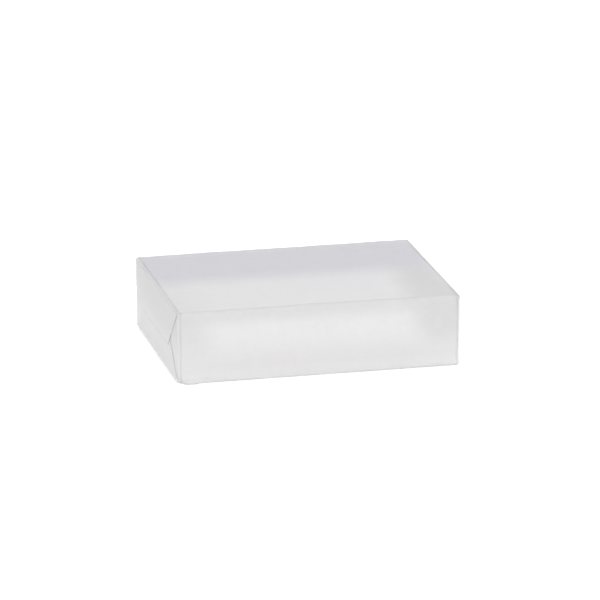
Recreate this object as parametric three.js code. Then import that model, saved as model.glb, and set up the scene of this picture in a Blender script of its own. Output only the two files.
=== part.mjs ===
// A block of gymnastics chalk in its paper wrapper.
//
// Frame: millimetres, +Z up, origin at the middle of the underside. X runs along the block,
// the front of the block faces -Y, and the folded ends of the wrapper face -X and +X.
//
// The wrapper is one sheet of waxed paper. It goes round the cake as a sleeve that closes with a
// glued lap underneath, and both open ends of the sleeve are folded flat, as on a parcel:
//   1. a tuck folds in from the front edge and another from the back edge,
//   2. the bottom flap folds up over them,
//   3. the top flap folds down over everything and is glued.
// Folding the tucks in leaves a triangle of paper doubled under each slanted side of a flap.
// These triangles are called gussets here, and each one moves with its flap.

import * as THREE from 'three';

// Driving dimensions
const LENGTH = 100;            // over the folded ends
const DEPTH = 72;              // front to back
const HEIGHT = 25.4;           // one inch
const PAPER = 0.25;            // one layer of paper, thickened to be a sound solid
const LAYER_GAP = 0.1;         // air between two layers
const FLAP_LENGTH = 15.5;      // how far the sleeve stands past the cake before it is folded
const MITRE_GAP = 0.6;         // clearance of each slanted edge from the diagonal crease
const TIP_GAP = 0.5;           // clearance between a top gusset and the tip of the bottom flap
const SEAM_SETBACK = 2;        // from the front face to the free edge of the outer lap
const INNER_LAP = 58;          // depth of the lap under the cake
const CAKE_EDGE_RADIUS = 3;    // moulded edge of the pressed cake
const GLUE_THICKNESS = 0.06;
const SEAM_GLUE = { fromFront: 6, width: 5, endMargin: 6 };
const END_GLUE = { length: 30, margin: 0.8 };

// Worked out from them
const LAYER = PAPER + LAYER_GAP;
const END_LAYERS = 3;
const CAKE = {
  length: LENGTH - 2 * END_LAYERS * LAYER,
  depth: DEPTH - 2 * LAYER,
  height: HEIGHT - 3 * LAYER,
  base: 2 * LAYER,
};
const CAKE_END = CAKE.length / 2;
const FRONT = -DEPTH / 2;
const BACK = DEPTH / 2;

const chalk = new THREE.MeshStandardMaterial({ color: 0xf4f3f1, roughness: 0.95, metalness: 0 });
const paper = new THREE.MeshStandardMaterial({ color: 0xdedee2, roughness: 0.45, metalness: 0 });
const glue = new THREE.MeshStandardMaterial({ color: 0xefe9d8, roughness: 0.35, metalness: 0 });

const block = new THREE.Group();

function add(name, geometry, material, x, y, z) {
  const mesh = new THREE.Mesh(geometry, material);
  mesh.name = name;
  mesh.position.set(x, y, z);
  block.add(mesh);
}

// A box from its limits along each axis.
function addPanel(name, material, [x0, x1], [y0, y1], [z0, z1]) {
  const geometry = new THREE.BoxGeometry(x1 - x0, y1 - y0, z1 - z0);
  add(name, geometry, material, (x0 + x1) / 2, (y0 + y1) / 2, (z0 + z1) / 2);
}

// An outline drawn in the YZ plane, given thickness along +X.
function extrudeAlongX(points, thickness) {
  const outline = new THREE.Shape(points.map(([y, z]) => new THREE.Vector2(y, z)));
  const geometry = new THREE.ExtrudeGeometry(outline, { depth: thickness, bevelEnabled: false });
  const turn = new THREE.Matrix4().makeBasis(
    new THREE.Vector3(0, 1, 0),
    new THREE.Vector3(0, 0, 1),
    new THREE.Vector3(1, 0, 0),
  );
  return geometry.applyMatrix4(turn);
}

// The pressed cake: a slab with all its edges rounded by the mould.
function addCake() {
  const r = CAKE_EDGE_RADIUS;
  const x = CAKE.length / 2 - r;
  const y = CAKE.depth / 2 - r;
  const outline = new THREE.Shape();
  outline.absarc(x - r, y - r, r, 0, Math.PI / 2);
  outline.absarc(-x + r, y - r, r, Math.PI / 2, Math.PI);
  outline.absarc(-x + r, -y + r, r, Math.PI, 1.5 * Math.PI);
  outline.absarc(x - r, -y + r, r, 1.5 * Math.PI, 2 * Math.PI);
  const geometry = new THREE.ExtrudeGeometry(outline, {
    depth: CAKE.height - 2 * r,
    bevelThickness: r,
    bevelSize: r,
    bevelSegments: 4,
    curveSegments: 4,
  });
  add('chalk_block', geometry, chalk, 0, 0, CAKE.base + r);
}

// The sleeve: top, front and back panels, and the two laps that close it underneath. The top
// panel and the outer lap run on to the flaps that hang from them.
function addSleeve() {
  const along = [-CAKE_END, CAKE_END];
  const underTop = HEIGHT - LAYER;
  const toTopFlap = CAKE_END + topFlap.layer * LAYER;
  const toBottomFlap = CAKE_END + bottomFlap.layer * LAYER;
  addPanel('wrapper_top_panel', paper, [-toTopFlap, toTopFlap], [FRONT, BACK], [HEIGHT - PAPER, HEIGHT]);
  addPanel('wrapper_front_panel', paper, along, [FRONT, FRONT + PAPER], [LAYER, underTop]);
  addPanel('wrapper_back_panel', paper, along, [BACK - PAPER, BACK], [LAYER, underTop]);
  const innerLap = [FRONT + LAYER, FRONT + LAYER + INNER_LAP];
  addPanel('wrapper_inner_lap', paper, along, innerLap, [LAYER, LAYER + PAPER]);
  const outerLap = [FRONT + SEAM_SETBACK, BACK];
  addPanel('wrapper_outer_lap', paper, [-toBottomFlap, toBottomFlap], outerLap, [0, PAPER]);

  const glueAlong = [-CAKE_END + SEAM_GLUE.endMargin, CAKE_END - SEAM_GLUE.endMargin];
  const glueFront = FRONT + SEAM_GLUE.fromFront;
  addPanel('seam_glue_strip', glue, glueAlong, [glueFront, glueFront + SEAM_GLUE.width],
    centredInGap(PAPER));
}

// The height span of a glue film in the middle of the gap that starts at the given place.
function centredInGap(start) {
  const middle = start + LAYER_GAP / 2;
  return [middle - GLUE_THICKNESS / 2, middle + GLUE_THICKNESS / 2];
}

// Outlines on the end of the block. `down` is the distance from a flap's crease, and `inward`
// the distance from the nearest upright edge. The diagonal crease is where the two are equal.
function flapOutline(flap) {
  const atCrease = DEPTH / 2 - MITRE_GAP;
  const atTip = atCrease - FLAP_LENGTH;
  return [
    [-atCrease, flap.level(0)],
    [atCrease, flap.level(0)],
    [atTip, flap.level(FLAP_LENGTH)],
    [-atTip, flap.level(FLAP_LENGTH)],
  ];
}

// A gusset starts one layer away from the crease, clear of the panel that its flap hangs from.
function gussetOutline(flap, edge) {
  const tip = Math.min(FLAP_LENGTH - MITRE_GAP, flap.gussetReach);
  const points = [
    [edge.along(LAYER + MITRE_GAP), flap.level(LAYER)],
    [edge.along(FLAP_LENGTH), flap.level(LAYER)],
    [edge.along(FLAP_LENGTH), flap.level(tip)],
  ];
  if (tip < FLAP_LENGTH - MITRE_GAP) {
    points.push([edge.along(tip + MITRE_GAP), flap.level(tip)]);
  }
  return points;
}

function tuckOutline(edge) {
  return [
    [edge.along(0), MITRE_GAP],
    [edge.along(0), HEIGHT - MITRE_GAP],
    [edge.along(HEIGHT / 2 - MITRE_GAP), HEIGHT / 2],
  ];
}

const topFlap = {
  name: 'top',
  layer: 2,
  level: (down) => HEIGHT - down,
  gussetReach: HEIGHT - FLAP_LENGTH - TIP_GAP,
};
const bottomFlap = {
  name: 'bottom',
  layer: 1,
  level: (up) => up,
  gussetReach: FLAP_LENGTH,
};
const edges = [
  { name: 'front', along: (inward) => FRONT + inward },
  { name: 'back', along: (inward) => BACK - inward },
];
const ends = [
  { name: 'left', side: -1 },
  { name: 'right', side: 1 },
];

// Layer 0 lies against the cake, and each further layer lies outside the one before.
function addEndSheet(end, name, points, layer) {
  const inner = CAKE_END + LAYER_GAP + layer * LAYER;
  const x = end.side > 0 ? inner : -inner - PAPER;
  add(`${end.name}_${name}`, extrudeAlongX(points, PAPER), paper, x, 0, 0);
}

function addEndGlue(end) {
  const [near, far] = centredInGap(CAKE_END + LAYER_GAP + bottomFlap.layer * LAYER + PAPER);
  const along = end.side > 0 ? [near, far] : [-far, -near];
  const overlap = [HEIGHT - FLAP_LENGTH + END_GLUE.margin, FLAP_LENGTH - END_GLUE.margin];
  addPanel(`${end.name}_end_glue`, glue, along, [-END_GLUE.length / 2, END_GLUE.length / 2], overlap);
}

function addFoldedEnd(end) {
  for (const edge of edges) {
    addEndSheet(end, `${edge.name}_tuck`, tuckOutline(edge), 0);
  }
  for (const flap of [bottomFlap, topFlap]) {
    addEndSheet(end, `${flap.name}_flap`, flapOutline(flap), flap.layer);
    for (const edge of edges) {
      addEndSheet(end, `${flap.name}_${edge.name}_gusset`, gussetOutline(flap, edge), flap.layer - 1);
    }
  }
  addEndGlue(end);
}

addCake();
addSleeve();
ends.forEach(addFoldedEnd);

export default block;
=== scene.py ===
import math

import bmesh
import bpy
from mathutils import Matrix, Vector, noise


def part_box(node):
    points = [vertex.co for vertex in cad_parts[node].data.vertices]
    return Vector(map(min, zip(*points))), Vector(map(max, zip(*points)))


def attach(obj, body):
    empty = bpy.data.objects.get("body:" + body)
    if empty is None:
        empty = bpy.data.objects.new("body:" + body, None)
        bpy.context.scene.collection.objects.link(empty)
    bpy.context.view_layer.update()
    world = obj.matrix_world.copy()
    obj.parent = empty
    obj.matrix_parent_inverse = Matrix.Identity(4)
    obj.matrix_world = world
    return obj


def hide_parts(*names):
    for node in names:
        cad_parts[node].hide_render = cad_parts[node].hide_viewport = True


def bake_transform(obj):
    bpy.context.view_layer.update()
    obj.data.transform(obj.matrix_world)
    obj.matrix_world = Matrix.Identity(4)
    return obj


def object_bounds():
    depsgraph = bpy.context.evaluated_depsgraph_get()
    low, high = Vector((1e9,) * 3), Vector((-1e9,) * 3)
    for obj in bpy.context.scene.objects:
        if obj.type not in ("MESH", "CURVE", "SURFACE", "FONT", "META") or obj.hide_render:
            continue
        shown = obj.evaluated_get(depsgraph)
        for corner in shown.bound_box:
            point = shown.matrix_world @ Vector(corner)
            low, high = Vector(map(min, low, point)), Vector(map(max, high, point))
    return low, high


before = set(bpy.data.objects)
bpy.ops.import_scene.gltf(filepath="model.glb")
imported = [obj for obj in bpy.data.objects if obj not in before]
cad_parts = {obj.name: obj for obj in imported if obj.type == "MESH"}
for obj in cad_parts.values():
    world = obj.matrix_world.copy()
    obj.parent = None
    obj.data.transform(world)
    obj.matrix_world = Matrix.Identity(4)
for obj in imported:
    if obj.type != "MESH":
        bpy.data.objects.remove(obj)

# A block of gymnastics chalk in its paper wrapper. The paper is modelled as the folded sheet that it
# is: one sleeve round the cake, and at each end two tucks and two flaps, which turn at their creases.
# Under each slanted side of a flap the paper is doubled, as it is where a parcel's end is folded.

MM = 0.001

# Sizes chosen here
PAPER = 0.06 * MM              # thickness of the sheet
CREASE = 1.0 * MM              # radius of the sleeve's long creases
CELL = 1.0 * MM                # spacing of the paper's mesh
LAYER_STEP = 0.075 * MM        # from the middle of one layer to the middle of the next
TUCK_NARROWING = 0.92          # a tuck runs on a little way under the flaps; 1 would be a mitre
LAP_CLIMB = 4.5 * MM           # how far the inner lap takes to climb over the outer lap's edge
CAKE_CELL = 1.1 * MM           # spacing of the cake's mesh
CAKE_RADIUS = 2.6 * MM         # radius of the cake's edges where they are least worn
CAKE_WEAR = 2.4 * MM           # how much larger it is where they are most worn
ROOT = "wrapped_block"

# The crumple at the lower front left corner: a dent in the corner, and a bulge beside it on the
# front. These sizes are in millimetres, and the places are counted from the corner.
DENT = Vector((0.8, 0.8, 1.0))
DENT_REACH = 2.2
BULGE = Vector((0.1, -1.8, 0.1))
BULGE_PLACE = 4.6
BULGE_REACH = (2.4, 1.3, 1.7)

# Sizes read from the frame
LOW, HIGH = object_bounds()
LENGTH, DEPTH, HEIGHT = HIGH - LOW
FRONT = LOW.y + PAPER / 2      # middle of the sheet on each face
BACK = HIGH.y - PAPER / 2
TOP = HIGH.z - PAPER / 2
BASE = LOW.z + PAPER / 2
INNER_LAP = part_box("wrapper_inner_lap")
OUTER_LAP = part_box("wrapper_outer_lap")
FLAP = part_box("right_top_flap")
FLAP_LENGTH = FLAP[1].z - FLAP[0].z
SLEEVE_END = HIGH.x - PAPER / 2 - CREASE
BETWEEN_FLAPS = HIGH.x - PAPER / 2 - LAYER_STEP    # where the adhesive of a folded end lies


def smoothstep(low, high, value):
    t = min(max((value - low) / (high - low), 0.0), 1.0)
    return t * t * (3 - 2 * t)


def steps(start, end, count):
    """count + 1 evenly spaced numbers from start to end."""
    return [start + (end - start) * i / count for i in range(count + 1)]


def cells(length, size=CELL):
    """How many mesh cells of about that size fit in a length."""
    return max(1, round(length / size))


# ---------------------------------------------------------------- mesh helpers


def mesh_from_grids(name, grids):
    """One object from grids of points, each a list of rows. Points that coincide are joined."""
    bm = bmesh.new()
    for rows in grids:
        made = [[bm.verts.new(point) for point in row] for row in rows]
        for upper, lower in zip(made, made[1:]):
            for i in range(len(upper) - 1):
                bm.faces.new((upper[i], upper[i + 1], lower[i + 1], lower[i]))
    bmesh.ops.remove_doubles(bm, verts=bm.verts, dist=0.001 * MM)
    bmesh.ops.dissolve_degenerate(bm, edges=bm.edges, dist=0.001 * MM)
    bmesh.ops.recalc_face_normals(bm, faces=bm.faces)
    mesh = bpy.data.meshes.new(name)
    bm.to_mesh(mesh)
    bm.free()
    piece = bpy.data.objects.new(name, mesh)
    bpy.context.scene.collection.objects.link(piece)
    for polygon in mesh.polygons:
        polygon.use_smooth = True
    return piece


def thicken(piece, thickness):
    """Turns a one-sided sheet into a thin closed solid, and leaves no modifier behind."""
    solidify = piece.modifiers.new("thickness", "SOLIDIFY")
    solidify.thickness = thickness
    solidify.offset = 0
    depsgraph = bpy.context.evaluated_depsgraph_get()
    solid = bpy.data.meshes.new_from_object(piece.evaluated_get(depsgraph))
    piece.modifiers.clear()
    piece.data = solid
    return piece


# ---------------------------------------------------------------- how the paper lies


def fold_height(u, v, seed):
    """Soft swells with sharp valleys between them, as in paper that was creased and smoothed out."""
    return abs(noise.noise(Vector((u / 13, v / 9, 0)) / MM + Vector((0, 0, seed))))


def end_ripple(y, z):
    """How far the paper on a folded end stands out. Every layer there shares it, so none cross."""
    slack = noise.noise(Vector((y / 19, z / 11, 0)) / MM + Vector((3.1, 0, 7.7)))
    crinkle = noise.noise(Vector((y / 5, z / 4, 0)) / MM + Vector((0, 5.3, 1.9)))
    return MM * (0.10 * slack + 0.035 * crinkle + 0.16 * fold_height(y, z, 2.3))


def sleeve_ripple(point, outward):
    """How far the sleeve's paper stands out from flat: slack in the middle, puckers by the ends."""
    x, y, z = point
    on_underside = outward.z < -0.5
    if on_underside:
        return 0.0
    from_end = SLEEVE_END - abs(x)
    held = smoothstep(0, 5 * MM, from_end)
    across = y + z
    slack = noise.noise(Vector((x / 34, across / 15, 0.4)) / MM)
    pucker = noise.noise(Vector((x / 23, across / 4.5, 9.2)) / MM)
    crinkle = noise.noise(Vector((x / 6, across / 5, 4.8)) / MM)
    by_the_end = math.exp(-from_end / (9 * MM))
    folds = 0.26 * fold_height(x, across, 6.6)
    return held * MM * (0.11 * slack + 0.22 * pucker * by_the_end + 0.03 * crinkle + folds)


def crumple(point):
    """The small crumple where the wrapper has been knocked, at the lower front left corner."""
    away = (Vector(point) - LOW) / MM
    pushed_in = math.exp(-(away.length_squared / DENT_REACH**2))
    from_bulge = (away.x - BULGE_PLACE, away.y, away.z)
    pushed_out = math.exp(-sum((d / reach) ** 2 for d, reach in zip(from_bulge, BULGE_REACH)))
    crease = 0.8 + 0.6 * noise.noise(away / 1.3)
    return (DENT * pushed_in + BULGE * pushed_out * crease) * MM


# ---------------------------------------------------------------- the sleeve


def arc(centre, radius, start, end, count=7):
    """Points on an arc in the YZ plane, with angles in degrees from +Y towards +Z."""
    angles = [math.radians(a) for a in steps(start, end, count)]
    return [(centre[0] + radius * math.cos(a), centre[1] + radius * math.sin(a)) for a in angles]


def straight(start, end):
    """Points on a straight run, without its ends."""
    length = math.dist(start, end)
    count = cells(length)
    return [tuple(a + (b - a) * t for a, b in zip(start, end)) for t in steps(0, 1, count)[1:-1]]


def lap_level(y):
    """Height of the inner lap. It starts on the surface and climbs over the outer lap's edge."""
    level = (INNER_LAP[0].z + INNER_LAP[1].z) / 2
    return BASE + (level - BASE) * smoothstep(FRONT + CREASE, FRONT + CREASE + LAP_CLIMB, y)


def sleeve_path():
    """The sleeve's cross-section, from the inner lap's free edge round to the outer lap's."""
    near, far = FRONT + CREASE, BACK - CREASE
    low, high = BASE + CREASE, TOP - CREASE
    lap = cells(INNER_LAP[1].y - near)
    path = [(y, lap_level(y)) for y in steps(INNER_LAP[1].y, near, lap)[:-1]]
    path += arc((near, low), CREASE, 270, 180)
    path += straight((FRONT, low), (FRONT, high))
    path += arc((near, high), CREASE, 180, 90)
    path += straight((near, TOP), (far, TOP))
    path += arc((far, high), CREASE, 90, 0)
    path += straight((BACK, high), (BACK, low))
    path += arc((far, low), CREASE, 0, -90)
    path += straight((far, BASE), (OUTER_LAP[0].y, BASE))
    path.append((OUTER_LAP[0].y, BASE))
    return path


def make_sleeve():
    path = sleeve_path()
    last = len(path) - 1
    rows = []
    for i, (y, z) in enumerate(path):
        before, after = path[max(i - 1, 0)], path[min(i + 1, last)]
        along = Vector((0, after[0] - before[0], after[1] - before[1])).normalized()
        outward = Vector((0, -along.z, along.y))
        row = []
        for x in steps(-SLEEVE_END, SLEEVE_END, cells(2 * SLEEVE_END)):
            point = Vector((x, y, z))
            row.append(point + outward * sleeve_ripple(point, outward) + crumple(point))
        rows.append(row)
    sleeve = thicken(mesh_from_grids("wrapper_sleeve", [rows]), PAPER)
    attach(sleeve, ROOT)
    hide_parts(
        "wrapper_top_panel",
        "wrapper_front_panel",
        "wrapper_back_panel",
        "wrapper_inner_lap",
        "wrapper_outer_lap",
    )
    return sleeve


# ---------------------------------------------------------------- the folded ends


class EndFace:
    """Places a point of a folded end from its distance along the crease and in from the crease."""

    def __init__(self, side, edge):
        self.side = side
        self.edge = edge
        upright = edge in ("front", "back")
        self.half_side = (TOP - BASE) / 2 if upright else (BACK - FRONT) / 2

    def plane(self, z):
        """Where this layer lies. A tuck lies just under the flap that is over it at that height."""
        upper_share = smoothstep(HEIGHT / 2 + 0.5 * MM, FLAP_LENGTH + 0.5 * MM, z)
        layers_outside = {"top": 0, "bottom": 2}.get(self.edge, 4 - 2 * upper_share)
        return HIGH.x - PAPER / 2 - layers_outside * LAYER_STEP

    def at(self, x, along, inward):
        middle_y, middle_z = (FRONT + BACK) / 2, (TOP + BASE) / 2
        y, z = {
            "top": (middle_y + along, TOP - inward),
            "bottom": (middle_y - along, BASE + inward),
            "front": (FRONT + inward, middle_z + along),
            "back": (BACK - inward, middle_z - along),
        }[self.edge]
        return Vector((self.side * x, y, z))


def on_end(face, along, inward, turned=1.0, under=0.0):
    """A point of the paper. turned is how far out of the sleeve the crease has brought it, and under
    is how many layers it lies below the flap. Every layer is crumpled alike, to keep them apart."""
    flat = face.at(0, along, inward)
    plane = face.plane(flat.z) - under * LAYER_STEP
    x = SLEEVE_END + (plane - SLEEVE_END) * turned
    point = face.at(x + turned**4 * end_ripple(flat.y, flat.z), along, inward)
    return point + crumple(face.at(SLEEVE_END + turned * CREASE, along, inward))


def crease_rows(face, columns, count=6):
    """The turn from the sleeve's end, round the crease, to the flat of the end."""
    half = face.half_side - CREASE
    rows = []
    for turn in steps(0, math.pi / 2, count):
        radius = CREASE * math.cos(turn)
        corner = []
        for a in steps(0, math.pi / 4, 4):
            corner.append((half + radius * math.sin(a), CREASE - radius * math.cos(a)))
        outline = [(-along, inward) for along, inward in reversed(corner)]
        outline += [(along, CREASE - radius) for along in steps(-half, half, columns)[1:-1]]
        outline += corner
        rows.append([on_end(face, along, inward, math.sin(turn)) for along, inward in outline])
    return rows


def flat_rows(face, columns, length, narrowing):
    """The flat of a flap or tuck. It narrows at 45 degrees along the diagonal creases, or less."""
    half = face.half_side - CREASE
    rows = []
    for down in steps(0, length, cells(length)):
        width = max(half - narrowing * down, 0)
        places = [-width] * 4 + steps(-width, width, columns) + [width] * 4
        rows.append([on_end(face, along, CREASE + down) for along in places])
    return rows


def gusset_rows(face, length, sign):
    """The triangle doubled under one slanted side, starting at the fold along that side."""
    half = face.half_side - CREASE
    inner = face.half_side - FLAP_LENGTH
    columns = cells(half - inner)
    rows = []
    for down in steps(0, length, cells(length)):
        edge = half - down
        width = max(edge - inner, 0)
        bulge = min(0.5 * LAYER_STEP, width)
        row = [(0, edge), (0.5, edge + bulge)]
        row += [(1, edge - width * t) for t in steps(0, 1, columns)]
        rows.append([on_end(face, sign * along, CREASE + down, under=under) for under, along in row])
    return rows


def make_end_piece(side, edge, nodes):
    """A flap or a tuck, with its crease and, on a flap, the paper doubled under its slanted sides."""
    face = EndFace(1 if side == "right" else -1, edge)
    name = nodes[0]
    is_flap = edge in ("top", "bottom")
    length = FLAP_LENGTH - CREASE if is_flap else face.half_side - CREASE
    columns = cells(2 * (face.half_side - CREASE))
    narrowing = 1 if is_flap else TUCK_NARROWING
    grids = [crease_rows(face, columns) + flat_rows(face, columns, length, narrowing)[1:]]
    if is_flap:
        grids += [gusset_rows(face, length, sign) for sign in (-1, 1)]
    piece = thicken(mesh_from_grids(f"{name}_paper", grids), PAPER)
    on_end(face, 0, CREASE)
    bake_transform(piece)
    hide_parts(*nodes)
    return piece


def make_folded_end(side):
    papers = []
    for edge in ("front", "back"):
        papers.append(make_end_piece(side, edge, [f"{side}_{edge}_tuck"]))
    for edge in ("bottom", "top"):
        gussets = [f"{side}_{edge}_{end}_gusset" for end in ("front", "back")]
        papers.append(make_end_piece(side, edge, [f"{side}_{edge}_flap", *gussets]))
    return papers


# ---------------------------------------------------------------- the cake


def make_cake():
    """The pressed cake, with worn edges and a slightly uneven skin."""
    low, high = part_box("chalk_block")
    middle, half = (low + high) / 2, (high - low) / 2
    counts = [cells(2 * h, CAKE_CELL) for h in half]
    grids = []
    for axis in range(3):
        u, v = (axis + 1) % 3, (axis + 2) % 3
        for sign in (-1, 1):
            rows = []
            for b in steps(-half[v], half[v], counts[v]):
                row = []
                for a in steps(-half[u], half[u], counts[u]):
                    point = Vector((0, 0, 0))
                    point[axis] = sign * half[axis]
                    point[u], point[v] = a, b
                    row.append(middle + worn(point, half))
                rows.append(row)
            grids.append(rows)
    cake = mesh_from_grids("chalk_cake", grids)
    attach(cake, ROOT)
    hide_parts("chalk_block")
    return cake


def worn(point, half):
    """A point of the sharp-edged block, moved to where the worn and rounded cake has it."""
    wear = 0.5 + 0.5 * noise.noise(point / (13 * MM) + Vector((2.2, 8.1, 5.0)))
    radius = CAKE_RADIUS + CAKE_WEAR * wear
    core = Vector([min(max(p, -h + radius), h - radius) for p, h in zip(point, half)])
    away = point - core
    if away.length < 1e-9:
        return point
    rounded = core + away.normalized() * radius if away.length > radius else point
    grain = noise.noise(point / (1.7 * MM)) * 0.05 * MM
    hollow = max(noise.noise(point / (7 * MM) + Vector((6, 1, 3))) - 0.25, 0) * 0.5 * MM
    return rounded - away.normalized() * (abs(grain) + hollow)


# ---------------------------------------------------------------- the adhesive


def make_glue(node, body, along, wave, side=0):
    """A bead of adhesive pressed flat: full in its middle, thin and wavy at its edges. On an end it
    lies between the two flaps, and follows their paper."""
    low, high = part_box(node)
    middle, half = (low + high) / 2, (high - low) / 2
    thin = min(range(3), key=lambda i: half[i])
    across = 3 - thin - along
    faces = []
    for sign in (-1, 1):
        rows = []
        for t in steps(-1, 1, cells(2 * half[along], 0.8 * MM)):
            pinch = math.sqrt(max(1 - t**8, 0))
            wander = noise.noise(Vector((t * half[along] / wave, 1.7, 0)))
            width = 0.72 * pinch * (1 + 0.3 * wander)
            drift = 0.1 * wander
            row = []
            for s in steps(-1, 1, 10):
                point = middle.copy()
                point[along] += t * half[along]
                point[across] += half[across] * (s * width + drift)
                point[thin] += sign * half[thin] * (1 - s * s) * pinch
                if side:
                    point.x += side * (BETWEEN_FLAPS + end_ripple(point.y, point.z)) - middle.x
                row.append(point)
            rows.append(row)
        faces.append(rows)
    bead = mesh_from_grids(f"{node}_bead", faces)
    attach(bead, body)
    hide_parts(node)
    return bead


# ---------------------------------------------------------------- materials


class Nodes:
    """Short names for the few kinds of shader node that the materials here use."""

    def __init__(self, name):
        self.material = bpy.data.materials.new(name)
        self.material.use_nodes = True
        self.tree = self.material.node_tree
        self.shader = self.tree.nodes["Principled BSDF"]
        self.place = self.tree.nodes.new("ShaderNodeTexCoord").outputs["Object"]
        split = self.tree.nodes.new("ShaderNodeSeparateXYZ")
        self.tree.links.new(self.place, split.inputs[0])
        self.x, self.y, self.z = split.outputs

    def feed(self, socket, value):
        if isinstance(value, bpy.types.NodeSocket):
            self.tree.links.new(value, socket)
        else:
            socket.default_value = value

    def maths(self, operation, *values, clamp=False):
        node = self.tree.nodes.new("ShaderNodeMath")
        node.operation = operation
        node.use_clamp = clamp
        for socket, value in zip(node.inputs, values):
            self.feed(socket, value)
        return node.outputs[0]

    def fade(self, value, start, end, low=0.0, high=1.0):
        """Goes smoothly from low at start to high at end. start and end may be sockets."""
        node = self.tree.nodes.new("ShaderNodeMapRange")
        node.interpolation_type = "SMOOTHSTEP"
        for socket, given in zip(node.inputs, (value, start, end, low, high)):
            self.feed(socket, given)
        return node.outputs[0]

    def noise(self, size, detail=3.0, stretch=(1, 1, 1), roughness=0.55):
        """Noise whose features are about size metres across."""
        scaled = self.tree.nodes.new("ShaderNodeVectorMath")
        scaled.operation = "MULTIPLY"
        self.feed(scaled.inputs[0], self.place)
        self.feed(scaled.inputs[1], [1 / (size * s) for s in stretch])
        node = self.tree.nodes.new("ShaderNodeTexNoise")
        self.feed(node.inputs["Vector"], scaled.outputs[0])
        self.feed(node.inputs["Scale"], 1.0)
        self.feed(node.inputs["Detail"], detail)
        self.feed(node.inputs["Roughness"], roughness)
        return node.outputs[0]

    def mix(self, share, first, second):
        node = self.tree.nodes.new("ShaderNodeMix")
        node.data_type = "RGBA"
        self.feed(node.inputs[0], share)
        for socket, colour in ((node.inputs[6], first), (node.inputs[7], second)):
            self.feed(socket, (*colour, 1) if isinstance(colour, tuple) else colour)
        return node.outputs[2]

    def bump(self, height, strength, distance):
        node = self.tree.nodes.new("ShaderNodeBump")
        self.feed(node.inputs["Height"], height)
        self.feed(node.inputs["Strength"], strength)
        self.feed(node.inputs["Distance"], distance)
        self.feed(self.shader.inputs["Normal"], node.outputs[0])


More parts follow.
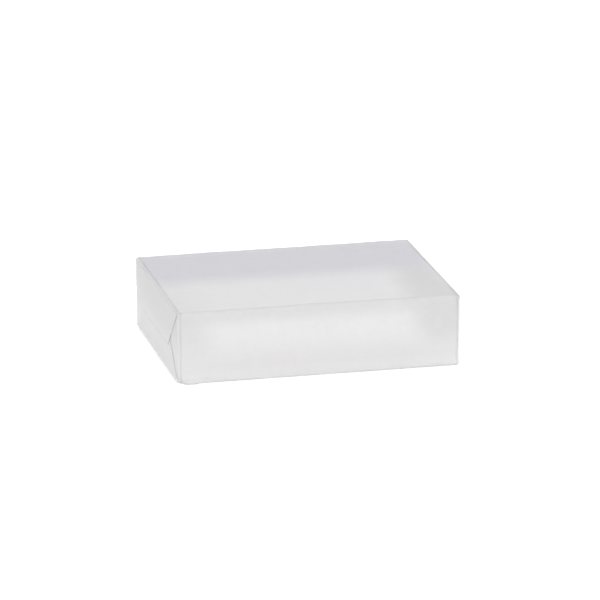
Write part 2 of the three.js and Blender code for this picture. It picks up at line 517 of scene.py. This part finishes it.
def paper_material():
    """Milky waxed paper: white where it lies on the cake, and painted greyer where it stands clear of it,
    as painted shade in the gap. Painted light and shade on its faces are set below.
    """
    n = Nodes("waxed_paper")
    wander = n.maths("MULTIPLY", n.maths("SUBTRACT", n.noise(14 * MM), 0.5), 7 * MM)

    # The clear margin at each end, painted greyer as painted shade where the paper stands over a gap.
    # The left one is faint on the top, and the right one widens towards the top and the front.
    on_top = n.fade(n.z, HEIGHT - 3.5 * MM, HEIGHT - 0.5 * MM)
    up = n.maths("DIVIDE", n.z, HEIGHT)
    backward = n.maths("DIVIDE", n.maths("SUBTRACT", n.y, LOW.y), DEPTH)
    widening = n.maths("SUBTRACT", n.maths("MULTIPLY", up, 9 * MM), n.maths("MULTIPLY", backward, 7 * MM))
    right_edge = n.maths("SUBTRACT", HIGH.x - 9 * MM, widening)
    from_right = n.maths("ADD", n.maths("SUBTRACT", right_edge, n.x), wander)
    from_left = n.maths("ADD", n.maths("SUBTRACT", n.x, LOW.x + 11 * MM), wander)
    inside_right = n.fade(from_right, -7 * MM, 7 * MM)
    inside_left = n.fade(from_left, -6 * MM, 6 * MM, low=n.maths("MULTIPLY", on_top, 0.7))
    on_cake = n.maths("MULTIPLY", inside_left, inside_right)

    # On the top the paper lies on the cake at the front, and stands clear of it at the back, where a band
    # of painted shade darkens it.
    y_wander = n.maths("ADD", n.y, n.maths("MULTIPLY", wander, 0.35))
    far_band_shade = n.maths("MULTIPLY", on_top, n.fade(y_wander, -9 * MM, 9 * MM))

    # The front is slightly greyer just below its top crease, and so is the crease itself.
    near_top = n.fade(n.z, HEIGHT - 7 * MM, HEIGHT - 1 * MM)
    crease_shade = n.maths("MULTIPLY", near_top, n.fade(n.y, LOW.y + 2.5 * MM, LOW.y + 0.5 * MM))

    # Painted light low on the margins, as if picked up from the floor below, and painted shade low on the
    # face where the paper lies on the cake.
    low_down = n.fade(n.z, 16 * MM, 5 * MM)
    touching = n.mix(n.noise(3 * MM), (0.80, 0.80, 0.805), (0.85, 0.85, 0.855))
    # Painted shade low on the face.
    touching = n.mix(n.maths("MULTIPLY", low_down, 0.85), touching, (0.78, 0.765, 0.77))
    # Painted light: the top face is painted lighter where the paper lies on the cake.
    touching = n.mix(n.maths("MULTIPLY", on_top, 0.5), touching, (0.895, 0.892, 0.915))
    # Painted shade: the paper standing clear is painted greyer than where it touches, a little lighter at
    # the left end than at the right.
    clear = n.mix(n.fade(n.x, LOW.x, HIGH.x), (0.745, 0.745, 0.75), (0.70, 0.70, 0.705))
    clear = n.mix(n.maths("MULTIPLY", n.noise(5 * MM), 0.3), clear, (0.77, 0.77, 0.775))
    # Painted light: the top face is painted lighter at the margins too.
    clear = n.mix(n.maths("MULTIPLY", on_top, 0.35), clear, (0.83, 0.825, 0.845))
    # Painted light low on the margins.
    clear = n.mix(low_down, clear, (0.79, 0.79, 0.79))
    colour = n.mix(on_cake, clear, touching)
    # Painted shade: the band at the back of the top.
    colour = n.mix(far_band_shade, colour, (0.729, 0.722, 0.768))
    colour = n.mix(n.maths("MULTIPLY", crease_shade, 0.8), colour, (0.71, 0.71, 0.715))
    # Painted light along the bottom of the faces, as bounced up from the floor.
    low_rim_light = n.fade(n.z, 6 * MM, 1 * MM)
    colour = n.mix(n.maths("MULTIPLY", low_rim_light, 0.45), colour, (0.89, 0.89, 0.89))

    # The folded ends are several layers thick, so they are whiter than one layer over a gap. They are
    # also painted lighter towards the bottom, as painted light bounced from the floor, and darker towards
    # the top as painted shade.
    end_share = n.fade(n.maths("ABSOLUTE", n.x), HIGH.x - 1.5 * MM, HIGH.x - 0.4 * MM)
    # Painted light low on the ends and painted shade high on them.
    end_tone = n.mix(n.fade(n.z, 0, HEIGHT), (0.905, 0.905, 0.91), (0.735, 0.735, 0.74))
    end_tone = n.mix(n.maths("MULTIPLY", n.noise(6 * MM), 0.4), end_tone, (0.87, 0.87, 0.87))
    colour = n.mix(end_share, colour, end_tone)
    fibres = n.fade(n.noise(0.5 * MM, 2, stretch=(6, 1, 1)), 0.35, 0.65)
    colour = n.mix(n.maths("MULTIPLY", fibres, 0.06), colour, (0.92, 0.92, 0.92))

    # Handling has left a little chalk dust on the wax, which dulls its sheen.
    dust = n.fade(n.noise(9 * MM, 5, roughness=0.65), 0.52, 0.70)
    colour = n.mix(n.maths("MULTIPLY", dust, 0.10), colour, (0.94, 0.94, 0.935))
    n.feed(n.shader.inputs["Base Color"], colour)

    sheen = n.fade(n.noise(6 * MM, 4), 0.3, 0.7, 0.34, 0.48)
    n.feed(n.shader.inputs["Roughness"], n.maths("ADD", sheen, n.maths("MULTIPLY", dust, 0.25)))
    n.shader.inputs["Alpha"].default_value = 0.62
    n.shader.inputs["IOR"].default_value = 1.45
    folds = n.maths("ABSOLUTE", n.maths("SUBTRACT", n.noise(11 * MM, 2), 0.5))
    crinkles = n.maths("ADD", n.noise(2.2 * MM, 4), n.maths("MULTIPLY", n.noise(0.4 * MM, 2), 0.25))
    n.bump(n.maths("ADD", crinkles, n.maths("MULTIPLY", folds, 2)), 0.8, 0.4 * MM)
    return n.material


def chalk_material():
    """Pressed magnesium carbonate: dead matt, fine-grained, with loose powder and small pits."""
    n = Nodes("pressed_chalk")
    powder = n.fade(n.noise(2.5 * MM, 6), 0.25, 0.75)
    colour = n.mix(powder, (0.78, 0.777, 0.77), (0.84, 0.84, 0.836))
    pits = n.fade(n.noise(0.9 * MM, 2), 0.68, 0.76)
    # Painted shade: the pits are painted darker, as shade inside them.
    colour = n.mix(n.maths("MULTIPLY", pits, 0.35), colour, (0.62, 0.615, 0.61))
    n.feed(n.shader.inputs["Base Color"], colour)
    n.feed(n.shader.inputs["Roughness"], n.fade(powder, 0, 1, 0.88, 1.0))
    grain = n.maths("ADD", n.noise(0.35 * MM, 4), n.maths("MULTIPLY", n.noise(2.5 * MM, 3), 1.5))
    n.bump(n.maths("SUBTRACT", grain, pits), 0.6, 0.1 * MM)
    return n.material


def glue_material():
    """Clear adhesive that has dried slightly yellow."""
    n = Nodes("dried_adhesive")
    colour = n.mix(n.noise(1.5 * MM), (0.80, 0.785, 0.73), (0.86, 0.85, 0.81))
    n.feed(n.shader.inputs["Base Color"], colour)
    n.feed(n.shader.inputs["Roughness"], n.fade(n.noise(2 * MM), 0.3, 0.7, 0.18, 0.34))
    n.shader.inputs["Alpha"].default_value = 0.6
    n.bump(n.noise(0.8 * MM, 2), 0.3, 0.04 * MM)
    return n.material


def floor_material():
    """A pale, evenly lit studio floor."""
    n = Nodes("studio_floor")
    colour = n.mix(n.noise(0.4), (0.93, 0.93, 0.93), (0.95, 0.95, 0.95))
    n.feed(n.shader.inputs["Base Color"], colour)
    n.shader.inputs["Roughness"].default_value = 0.9
    n.shader.inputs["Specular IOR Level"].default_value = 0.1
    n.shader.inputs["Emission Color"].default_value = (1, 1, 1, 1)
    n.shader.inputs["Emission Strength"].default_value = 0.25
    return n.material


def paint(piece, material):
    piece.data.materials.clear()
    piece.data.materials.append(material)


# ---------------------------------------------------------------- the block


def make_block():
    paper = paper_material()
    glue = glue_material()
    paint(make_cake(), chalk_material())
    paint(make_sleeve(), paper)
    paint(make_glue("seam_glue_strip", ROOT, along=0, wave=9 * MM), glue)
    for side in ("left", "right"):
        for piece in make_folded_end(side):
            paint(piece, paper)
        outward = 1 if side == "right" else -1
        bead = make_glue(f"{side}_end_glue", f"{side}_top", along=1, wave=5 * MM, side=outward)
        paint(bead, glue)


# ---------------------------------------------------------------- studio


def make_floor():
    reach = 40 * LENGTH
    level = LOW.z - 0.03 * MM      # just clear of the paper, so that the two never share a plane
    corners = [[Vector((x, y, level)) for x in (-reach, reach)] for y in (-reach, reach)]
    floor = mesh_from_grids("floor", [corners])
    floor.data.materials.append(floor_material())


def area_light(name, azimuth, elevation, distance, size, power):
    """A soft square light that looks at the block. Azimuth 0 is in front, and 90 is on its right."""
    a, e = math.radians(azimuth), math.radians(elevation)
    back = Vector((math.sin(a) * math.cos(e), -math.cos(a) * math.cos(e), math.sin(e)))
    data = bpy.data.lights.new(name, "AREA")
    data.size = size
    data.energy = power
    light = bpy.data.objects.new(name, data)
    light.location = back * distance
    light.rotation_mode = "QUATERNION"
    light.rotation_quaternion = (-back).to_track_quat("-Z", "Y")
    bpy.context.scene.collection.objects.link(light)


def make_studio():
    make_floor()
    world = bpy.data.worlds.new("studio")
    world.use_nodes = True
    background = world.node_tree.nodes["Background"]
    background.inputs["Color"].default_value = (1, 1, 1, 1)
    background.inputs["Strength"].default_value = 0.95
    bpy.context.scene.world = world
    area_light("key", azimuth=14, elevation=50, distance=1.4, size=1.1, power=5.5)
    bpy.context.scene.view_settings.view_transform = "Standard"


def make_camera():
    """Stands where the block's six visible corners put it: front left, a little above."""
    azimuth, elevation = math.radians(-13.28), math.radians(16.77)
    distance = 16.42 * LENGTH
    across, rise = 0.0149 * LENGTH, 0.1576 * LENGTH
    back = Vector((
        math.sin(azimuth) * math.cos(elevation),
        -math.cos(azimuth) * math.cos(elevation),
        math.sin(elevation),
    ))
    right = (-back).cross(Vector((0, 0, 1))).normalized()
    up = right.cross(-back)
    data = bpy.data.cameras.new("camera")
    data.sensor_width = 36
    data.lens = 280.8
    data.clip_start, data.clip_end = 0.05, 100
    camera = bpy.data.objects.new("camera", data)
    camera.location = back * distance + right * across + up * rise
    camera.rotation_mode = "QUATERNION"
    camera.rotation_quaternion = (-back).to_track_quat("-Z", "Y")
    bpy.context.scene.collection.objects.link(camera)
    bpy.context.scene.camera = camera


make_camera()
make_block()
make_studio()
